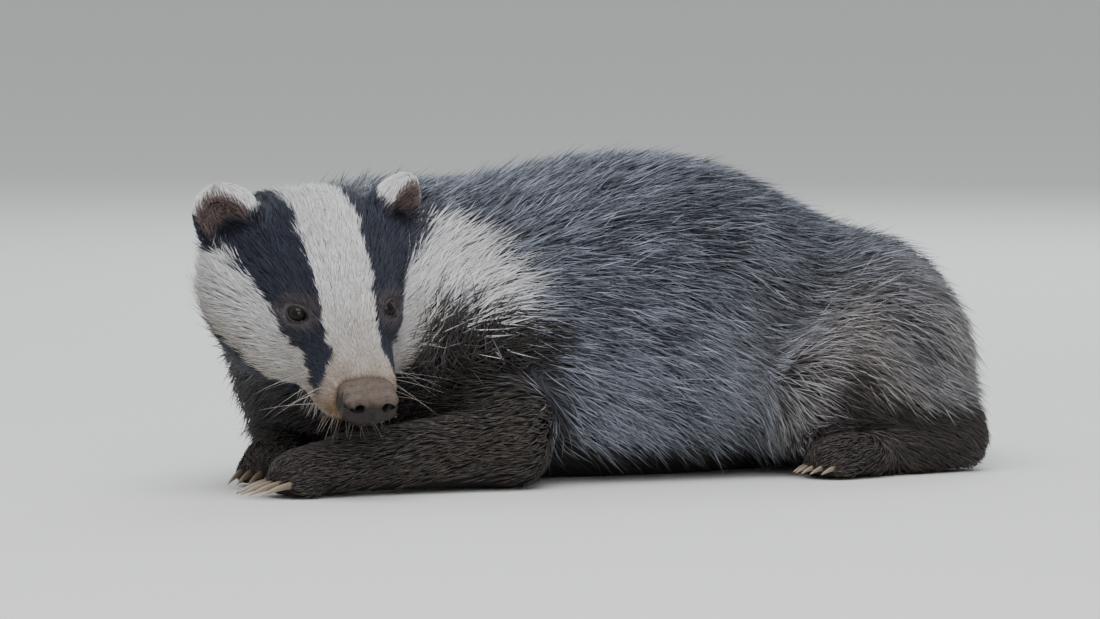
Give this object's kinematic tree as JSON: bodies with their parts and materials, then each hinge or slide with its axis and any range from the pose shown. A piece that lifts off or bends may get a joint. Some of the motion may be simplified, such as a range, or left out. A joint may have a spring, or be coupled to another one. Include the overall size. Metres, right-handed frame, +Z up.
{
  "type": "european badger",
  "caption": "European badger lying on its belly with its head turned to its left, a still life-size model for display.",
  "frame": {"origin": "on the floor, under the middle of the model's own box", "axes": "+X from the shoulders to the rump, +Y to the animal's right, +Z up"},
  "size_m": [0.554, 0.3204, 0.1855],
  "materials": {
    "grizzled_coat": "coarse grizzled fur, pale tips over dark hair",
    "dark_coat": "black-brown fur with a few pale hairs",
    "face_coat": "short white fur with a black stripe through each eye",
    "nose_skin": "bare grained skin, slightly moist",
    "eye": "dark brown, wet gloss",
    "paw_and_claw": "dark short fur and skin with horn-coloured claws"
  },
  "bodies": {
    "root": {"head": "face_coat", "ear_left": "face_coat", "ear_right": "face_coat", "eye_left": "eye", "eye_right": "eye", "nose_pad": "nose_skin", "neck": "grizzled_coat", "torso": "grizzled_coat", "hindquarters": "grizzled_coat", "tail": "grizzled_coat", "foreleg_left": "dark_coat", "foreleg_right": "dark_coat", "hindleg_left": "dark_coat", "hindleg_right": "dark_coat", "forepaw_left": "paw_and_claw", "forepaw_right": "paw_and_claw", "hindpaw_left": "paw_and_claw", "hindpaw_right": "paw_and_claw"}
  },
  "joints": []
}
